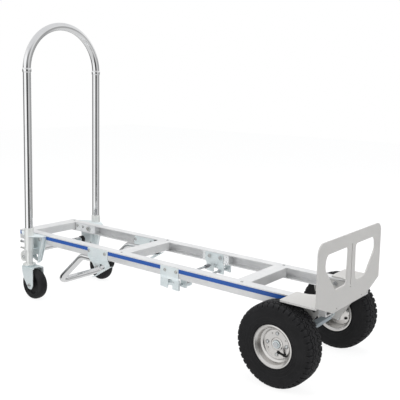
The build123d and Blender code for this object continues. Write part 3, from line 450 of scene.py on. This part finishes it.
def new_object(name, points, faces, slot, body, replaced, angle):
    """Build a mesh that rides on body and takes the place of the CAD piece `replaced`."""
    mesh = bpy.data.meshes.new(name)
    mesh.from_pydata([tuple(p) for p in points], [], [tuple(f) for f in faces])
    mesh.validate()
    bm = bmesh.new()
    bm.from_mesh(mesh)
    bmesh.ops.remove_doubles(bm, verts=bm.verts, dist=1e-6)
    bmesh.ops.recalc_face_normals(bm, faces=bm.faces)
    bm.to_mesh(mesh)
    bm.free()
    obj = bpy.data.objects.new(name, mesh)
    bpy.context.scene.collection.objects.link(obj)
    mesh.materials.append(MATERIALS[slot])
    shade_smooth(obj, angle)
    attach(obj, body)
    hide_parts(replaced)


def grid_faces(rows, columns, wrap_rows):
    """Quads between rows of points; each row is a closed loop."""
    faces = []
    for i in range(rows if wrap_rows else rows - 1):
        i2 = (i + 1) % rows
        for j in range(columns):
            j2 = (j + 1) % columns
            faces.append((i * columns + j, i2 * columns + j, i2 * columns + j2, i * columns + j2))
    return faces


def smooth_curve(points, step):
    """A Catmull-Rom curve through points, sampled about every step."""
    points = np.array(points, float)
    ends = 2 * points[0] - points[1], 2 * points[-1] - points[-2]
    padded = np.vstack([ends[0], points, ends[1]])
    pieces = []
    for a, b, c, d in zip(padded, padded[1:], padded[2:], padded[3:]):
        count = max(2, int(np.ceil(np.linalg.norm(c - b) / step)))
        t = np.linspace(0, 1, count, endpoint=False)[:, None]
        square = (2 * a - 5 * b + 4 * c - d) * t**2
        cube = (3 * b - a - 3 * c + d) * t**3
        pieces.append(0.5 * (2 * b + (c - a) * t + square + cube))
    return np.vstack(pieces + [points[-1:]])


def mirrored(half, middle, centre):
    """(radius, Y) outline from one half's (radius, distance from centre) points."""
    low = [(radius, centre - distance) for radius, distance in half]
    high = [(radius, centre + distance) for radius, distance in reversed(half)]
    return low + middle + high


def turned_object(name, radius, across, axle, side, steps, **identity):
    """Turn a closed outline in mm about a line parallel to Y at axle, an (x, z) in metres.

    radius and across hold one outline, or one outline per step.
    """
    theta = np.linspace(0, 2 * np.pi, steps, endpoint=False)[:, None]
    columns = radius.shape[-1]
    across = np.broadcast_to(across, (steps, columns))
    x = axle[0] + radius * np.cos(theta) / MM
    z = axle[1] + radius * np.sin(theta) / MM
    points = np.stack([x, SIDES[side] * across / MM, z], -1)
    new_object(name, points.reshape(-1, 3), grid_faces(steps, columns, True), **identity)


for name, obj in frame["nodes"].items():
    slots = {part["node"]: part["material_slot"] for part in frame["record"]["subparts"]}
    obj.data.materials.clear()
    obj.data.materials.append(MATERIALS[slots[name]])
    shade_smooth(obj, angle=28.0)


# ------------------------------------------------------------------ main tyres
# (radius, distance from the tyre's middle plane) in mm, from rim to crown
TYRE_HALF = [
    (62.0, 33.0), (64.0, 34.9), (66.8, 36.7), (70.0, 37.9), (72.2, 39.9), (74.0, 40.0),
    (76.2, 39.6), (84.0, 42.3), (92.0, 44.0), (100.0, 44.75), (107.0, 44.7), (113.0, 43.9),
    (118.6, 42.0), (123.0, 38.9), (126.4, 34.8), (128.6, 29.0), (129.6, 21.0), (129.9, 11.0),
]
# raised rings on the sidewalls: (radius, height, width) in mm
SIDEWALL_RINGS = [(80.0, 0.5, 0.7), (90.0, 0.35, 0.5), (97.0, 0.35, 0.5), (106.5, 0.7, 0.9)]
# surface that closes the tyre inside: its radius, and distances from the middle plane, in mm
SEAT_RADIUS = 60.6
SEAT_ACROSS = np.array([31.0, 12.0, -12.0, -31.0])


def from_whole(x):
    """Distance to the nearest whole number."""
    return np.abs(x - np.floor(x + 0.5))


def triangle(x):
    """Triangle wave of period 1 from -1 to 1."""
    return 4 * from_whole(x) - 1


def smoothstep(x, start, stop):
    t = np.clip((x - start) / (stop - start), 0, 1)
    return t * t * (3 - 2 * t)


def tread_cut(phase, across):
    """Share of the tread depth cut away; phase is in pitches, across in mm from the middle."""
    pitch = 2 * np.pi * MAIN_RADIUS / TREAD_PITCHES
    distance = np.abs(across)
    inner_line = 9.5 + 4.2 * triangle(phase)
    outer_line = 24.5 + 4.0 * triangle(phase + 0.5)

    def channel(line, floor_half, top_half):
        """A zigzag channel round the tyre."""
        return 1 - smoothstep(np.abs(distance - line), floor_half, top_half)

    def cross(shift, slant, half_width, ramp=0.8):
        """Slanted channels across the tyre, one to a pitch."""
        place = phase + shift + slant * distance / pitch
        return 1 - smoothstep(from_whole(place) * pitch, half_width, half_width + ramp)

    middle = 0.6 * cross(shift=0.0, slant=0.25 * np.sign(across), half_width=0.5)
    second = 0.95 * cross(shift=0.5, slant=0.5, half_width=1.1)
    shoulder = cross(shift=0.0, slant=0.12, half_width=2.3)
    return np.maximum.reduce([
        channel(inner_line, floor_half=1.7, top_half=2.7),
        0.95 * channel(outer_line, floor_half=2.0, top_half=3.2),
        np.where(distance < inner_line, middle, 0),
        np.where((distance > inner_line) & (distance < outer_line), second, 0),
        np.where(distance > outer_line, shoulder, 0),
    ])


def main_tyre(side):
    """Block tread cut into a crowned casing, with ringed sidewalls, closed inside."""
    outline = smooth_curve(mirrored(TYRE_HALF, [(MAIN_RADIUS, MAIN_Y)], MAIN_Y), step=1.15)
    slope = np.gradient(outline, axis=0)
    outward = np.stack([slope[:, 1], -slope[:, 0]], -1)
    outward /= np.linalg.norm(outward, axis=1)[:, None]
    radius = outline[:, 0]
    across = outline[:, 1] - MAIN_Y

    # the two halves of the tread are half a pitch apart
    theta = np.linspace(0, 2 * np.pi, TYRE_STEPS, endpoint=False)[:, None]
    phase = theta * TREAD_PITCHES / (2 * np.pi) + np.where(across > 0, 0.5, 0.0)
    depth = TREAD_DEPTH * smoothstep(radius, 115.5, 121.5)
    offset = -depth * tread_cut(phase, across)
    for ring_radius, height, width in SIDEWALL_RINGS:
        ring = height * np.exp(-(((radius - ring_radius) / width) ** 2))
        offset += np.where(radius < 112, ring, 0)

    # short ribs below the shoulder lugs
    rib_height, rib_radius, rib_width = 0.3, 112.5, 1.6
    rib = 1 - smoothstep(np.abs(triangle(phase * 2 + 0.25)), 0.25, 0.45)
    rib = rib * np.exp(-(((radius - rib_radius) / rib_width) ** 2))
    offset = offset + rib_height * rib * (radius < 115)

    seat_shape = (TYRE_STEPS, len(SEAT_ACROSS))
    turned_object(
        f"tyre_tread_{side}",
        np.hstack([radius + offset * outward[:, 0], np.full(seat_shape, SEAT_RADIUS)]),
        np.hstack([
            MAIN_Y + across + offset * outward[:, 1],
            np.broadcast_to(MAIN_Y + SEAT_ACROSS, seat_shape),
        ]),
        axle=(MAIN_X, MAIN_Z),
        side=side,
        steps=TYRE_STEPS,
        slot="tyre_rubber",
        body=f"main_wheel_{side}",
        replaced=f"tyre_{side}",
        angle=32.0,
    )


for side in SIDES:
    main_tyre(side)


# ------------------------------------------------------------------ tubes
def bent_path(corners, steps):
    """Turn the corners of a polyline, (x, y, z, bend radius), into arcs; steps per quarter."""
    places = [Vector(corner[:3]) for corner in corners]
    path = []
    for i, place in enumerate(places):
        radius = corners[i][3]
        if radius <= 0:
            path.append(place)
            continue
        back = (places[i - 1] - place).normalized()
        ahead = (places[i + 1] - place).normalized()
        half_angle = back.angle(ahead) / 2
        reach = radius / math.tan(half_angle)
        centre = place + (back + ahead).normalized() * (radius / math.sin(half_angle))
        start = (place + back * reach) - centre
        end = (place + ahead * reach) - centre
        total = start.angle(end)
        axis = start.cross(end).normalized()
        count = max(3, int(steps * total / (math.pi / 2)))
        for k in range(count + 1):
            path.append(centre + Matrix.Rotation(total * k / count, 3, axis) @ start)
    return path


def sweep(name, path, radii, wall, steps, body, replaced):
    """An open-ended chrome tube along path, with one outer radius per point."""
    path = [Vector(p) for p in path]
    last = len(path) - 1
    tangents = [
        (path[min(last, i + 1)] - path[max(0, i - 1)]).normalized() for i in range(len(path))
    ]
    # carry one normal along the path without twist
    first = tangents[0]
    reference = Vector((0, 0, 1)) if abs(first.z) < 0.9 else Vector((1, 0, 0))
    normal = (reference - first * reference.dot(first)).normalized()
    normals = [normal]
    for before, tangent in zip(tangents, tangents[1:]):
        normal = before.rotation_difference(tangent) @ normal
        normal = (normal - tangent * normal.dot(tangent)).normalized()
        normals.append(normal)

    points = []
    for inset in (0.0, wall):
        for centre, tangent, normal, radius in zip(path, tangents, normals, radii):
            side_axis = tangent.cross(normal)
            for k in range(steps):
                a = 2 * math.pi * k / steps
                spoke = normal * math.cos(a) + side_axis * math.sin(a)
                points.append(centre + spoke * (radius - inset))

    outer = grid_faces(len(path), steps, False)
    bore = len(path) * steps  # index of the first inner point
    faces = outer + [tuple(bore + q for q in reversed(face)) for face in outer]
    for base in (0, last * steps):
        for k in range(steps):
            k2 = (k + 1) % steps
            quad = (base + k, base + k2, bore + base + k2, bore + base + k)
            faces.append(quad if base else tuple(reversed(quad)))
    new_object(name, points, faces, "chrome_tube", body, replaced, angle=35.0)


def push_handle():
    """Straight legs, a swaged bead on each, and a half-round loop on top."""
    bead_steps, loop_steps = 12, 72
    leg = [LEG_FOOT_Z, LEG_MIDDLE_Z, BEAD_Z - BEAD_MARGIN]
    leg += [BEAD_Z + BEAD_LENGTH * k / bead_steps for k in range(bead_steps + 1)]
    leg.append(BEAD_Z + BEAD_LENGTH + BEAD_MARGIN)

    def leg_radius(z):
        t = (z - BEAD_Z) / BEAD_LENGTH
        bulge = BEAD_HEIGHT * math.sin(math.pi * t) ** 0.55 if 0 < t < 1 else 0.0
        return HANDLE_RADIUS + bulge

    leg_radii = [leg_radius(z) for z in leg]
    # the first and last steps of the loop are left out, as the legs reach that high
    loop = []
    for k in range(2, loop_steps - 1):
        a = math.pi * k / loop_steps
        y = -HANDLE_HALF_WIDTH * math.cos(a)
        loop.append((HANDLE_X, y, LOOP_CENTRE_Z + HANDLE_HALF_WIDTH * math.sin(a)))
    path = [(HANDLE_X, -HANDLE_HALF_WIDTH, z) for z in leg] + loop
    path += [(HANDLE_X, HANDLE_HALF_WIDTH, z) for z in reversed(leg)]
    radii = leg_radii + [HANDLE_RADIUS] * len(loop) + leg_radii[::-1]
    sweep(
        "push_handle_tube", path, radii, wall=HANDLE_WALL, steps=64,
        body="handle", replaced="push_handle",
    )


def rear_handle():
    """A tube bent into a U that drops towards -X."""
    # (x from the push handle, z, bend radius), from the open end to the cross bar
    half = [(0.431, REAR_TOP_Z, 0), (0.267, REAR_TOP_Z, 0.045), (0.121, REAR_LOW_Z, 0.048)]
    corners = [(x + HANDLE_X, -REAR_HALF_WIDTH, z, bend) for x, z, bend in half]
    corners += [(x, -y, z, bend) for x, y, z, bend in reversed(corners)]
    path = bent_path(corners, steps=26)
    sweep(
        "rear_handle_tube", path, [REAR_RADIUS] * len(path), wall=REAR_WALL, steps=56,
        body="frame", replaced="rear_handle",
    )


push_handle()
rear_handle()


# ------------------------------------------------------------------ casters
# (radius, distance from the middle plane) in mm, from hub to crown
CASTER_HALF = [
    (46.0, 17.4), (49.5, 18.8), (52.0, 19.35), (54.5, 19.1), (55.2, 18.5),
    (57.6, 17.2), (59.8, 14.2), (61.4, 10.0), (62.2, 5.5), (62.4, 1.2),
]
CASTER_BORE = 46.0  # mm


def caster_tyre(side):
    """A crowned tyre with a narrow flat round its middle."""
    middle = [(CASTER_RADIUS, CASTER_Y - 0.4), (CASTER_RADIUS, CASTER_Y + 0.4)]
    outline = smooth_curve(mirrored(CASTER_HALF, middle, CASTER_Y), step=0.8)
    bore = [(CASTER_BORE, CASTER_Y + 9.0), (CASTER_BORE, CASTER_Y - 9.0)]
    outline = np.vstack([outline, bore])
    turned_object(
        f"caster_tread_{side}",
        outline[:, 0],
        outline[:, 1],
        axle=(CASTER_X, CASTER_Z),
        side=side,
        steps=160,
        slot="caster_rubber",
        body=f"caster_wheel_{side}",
        replaced=f"caster_tyre_{side}",
        angle=30,
    )


for side in SIDES:
    caster_tyre(side)


# ------------------------------------------------------------------ studio
def floor_material():
    """A pale floor that glows to the camera, so only a soft contact shadow shows."""
    s = Surface("studio_floor")
    mottle = s.noise(scale=2.0, detail=3, roughness=0.5)
    colour = s.mix(mottle, (0.86, 0.86, 0.86), (0.88, 0.88, 0.88))
    s.finish(base_color=colour, roughness=0.8, specular_ior_level=0.1)
    glow = s.node("ShaderNodeEmission", {"Color": (1.0, 1.0, 1.0), "Strength": 1.10})
    glow_share = 0.80
    to_camera = s.node("ShaderNodeLightPath").outputs["Is Camera Ray"]
    mixed = s.shader_mix(s.times(to_camera, glow_share), s.shader.outputs[0], glow.outputs[0])
    s.feed(s.output.inputs[0], mixed)
    return s.material


def studio_floor(half_size=9):
    corners = [(x * half_size, y * half_size, 0) for x, y in ((-1, -1), (1, -1), (1, 1), (-1, 1))]
    material = floor_material()
    mesh = bpy.data.meshes.new("studio_floor")
    mesh.from_pydata(corners, [], [(0, 1, 2, 3)])
    floor = bpy.data.objects.new("studio_floor", mesh)
    bpy.context.scene.collection.objects.link(floor)
    mesh.materials.append(material)
    floor.visible_glossy = False


# What reflections see round the set: (azimuth in degrees from +X towards +Y, brightness)
WALLS_LOW = [
    (-180, 0.22), (-134, 0.22), (-120, 1.05), (-63, 1.05), (-53, 0.06), (-16, 0.06),
    (-3, 0.62), (28, 0.62), (36, 0.40), (70, 0.38), (140, 0.22), (180, 0.22),
]
WALLS_HIGH = [
    (-180, 0.78), (-150, 0.80), (-136, 1.05), (-68, 1.05), (-58, 0.30), (-16, 0.30),
    (-4, 0.72), (60, 0.80), (100, 0.92), (180, 0.80),
]
# Blends by height: (0 straight down, 0.5 at the horizon, 1 straight up; amount)
HIGH_BLEND = [(0.0, 0.0), (0.545, 0.0), (0.60, 1.0), (1.0, 1.0)]
ROOF_BLEND = [(0.0, 0.0), (0.70, 0.0), (0.84, 1.0), (1.0, 1.0)]
FLOOR_BLEND = [(0.0, 1.0), (0.20, 1.0), (0.34, 0.0), (1.0, 0.0)]
ROOF_COLOUR = (0.74, 0.74, 0.75)
FLOOR_COLOUR = (0.70, 0.70, 0.70)
FILL_COLOUR = (0.97, 0.985, 1.0)
FILL_STRENGTH = 0.62


def studio_world():
    """A soft fill for diffuse light, lit walls for reflections, white for the camera."""
    world = bpy.data.worlds.new("studio")
    bpy.context.scene.world = world
    world.use_nodes = True
    s = Nodes(world.node_tree)

    def grey_ramp(source, stops):
        ramp = s.node("ShaderNodeValToRGB", {0: source})
        elements = ramp.color_ramp.elements
        for element, (position, value) in ((elements[0], stops[0]), (elements[1], stops[-1])):
            element.position = position
            element.color = (value, value, value, 1)
        for position, value in stops[1:-1]:
            elements.new(position).color = (value, value, value, 1)
        return ramp.outputs[0]

    def wall_ramp(source, walls):
        return grey_ramp(source, [((degrees + 180.0) / 360.0, value) for degrees, value in walls])

    def background(colour, strength):
        inputs = {"Strength": strength, "Color": colour}
        return s.node("ShaderNodeBackground", inputs).outputs[0]

    direction = s.split(s.node("ShaderNodeTexCoord").outputs["Generated"])
    angle = s.math("ARCTAN2", direction["Y"], direction["X"])
    # both rescaled to 0..1
    azimuth = s.math("MULTIPLY_ADD", angle, 0.5 / math.pi, 0.5)
    height = s.math("MULTIPLY_ADD", direction["Z"], 0.5, 0.5)

    low = wall_ramp(azimuth, WALLS_LOW)
    high = wall_ramp(azimuth, WALLS_HIGH)
    seen = s.mix(grey_ramp(height, HIGH_BLEND), low, high)
    seen = s.mix(grey_ramp(height, ROOF_BLEND), seen, ROOF_COLOUR)
    seen = s.mix(grey_ramp(height, FLOOR_BLEND), seen, FLOOR_COLOUR)

    ray = s.node("ShaderNodeLightPath").outputs
    fill = background(FILL_COLOUR, FILL_STRENGTH)
    mixed = s.shader_mix(ray["Is Glossy Ray"], fill, background(seen, strength=1.0))
    white = background((1.0, 1.0, 1.0), strength=1.0)
    mixed = s.shader_mix(ray["Is Camera Ray"], mixed, white)
    s.node("ShaderNodeOutputWorld", {0: mixed})


def area_light(name, place, target, size, power):
    """A square light aimed at target and hidden from reflections."""
    light = bpy.data.lights.new(name, "AREA")
    light.energy = power
    light.size = size
    obj = bpy.data.objects.new(name, light)
    bpy.context.scene.collection.objects.link(obj)
    obj.location = place
    obj.rotation_mode = "QUATERNION"
    obj.rotation_quaternion = (Vector(target) - Vector(place)).to_track_quat("-Z", "Y")
    obj.visible_glossy = False


def camera(place, yaw, pitch, roll, lens, shift):
    """Yaw turns from +Y towards -X, pitch is up from level; both and roll are in degrees."""
    yaw, pitch, roll = math.radians(yaw), math.radians(pitch), math.radians(roll)
    forward = Vector((
        -math.sin(yaw) * math.cos(pitch),
        math.cos(yaw) * math.cos(pitch),
        math.sin(pitch),
    ))
    level_right = Vector((math.cos(yaw), math.sin(yaw), 0.0))
    level_up = level_right.cross(forward)
    right = level_right * math.cos(roll) + level_up * math.sin(roll)
    up = -level_right * math.sin(roll) + level_up * math.cos(roll)
    data = bpy.data.cameras.new("camera")
    obj = bpy.data.objects.new("camera", data)
    bpy.context.scene.collection.objects.link(obj)
    turn = Matrix((right, up, -forward)).transposed()
    obj.matrix_world = Matrix.Translation(place) @ turn.to_4x4()
    data.sensor_width = 36.0
    data.lens = lens
    data.shift_x, data.shift_y = shift
    data.clip_start = 0.05
    data.clip_end = 60
    bpy.context.scene.camera = obj


studio_floor()
studio_world()
area_light("key", place=(-0.6, -2.4, 2.7), target=(0, 0, 0.3), size=1.8, power=42)
area_light("top", place=(0.1, 0.5, 3.2), target=(0, 0, 0.2), size=2.4, power=50)
area_light("side", place=(3.0, 0.4, 1.9), target=(0.4, 0, 0.3), size=1.3, power=22)
camera(
    place=(1.550, -1.810, 0.88765), yaw=38.40, pitch=-7.38, roll=1.15,
    lens=57.8682, shift=(0.00855, -0.0737),
)

view = bpy.context.scene.view_settings
view.view_transform = "Standard"
view.look = "None"
view.exposure = 0.0
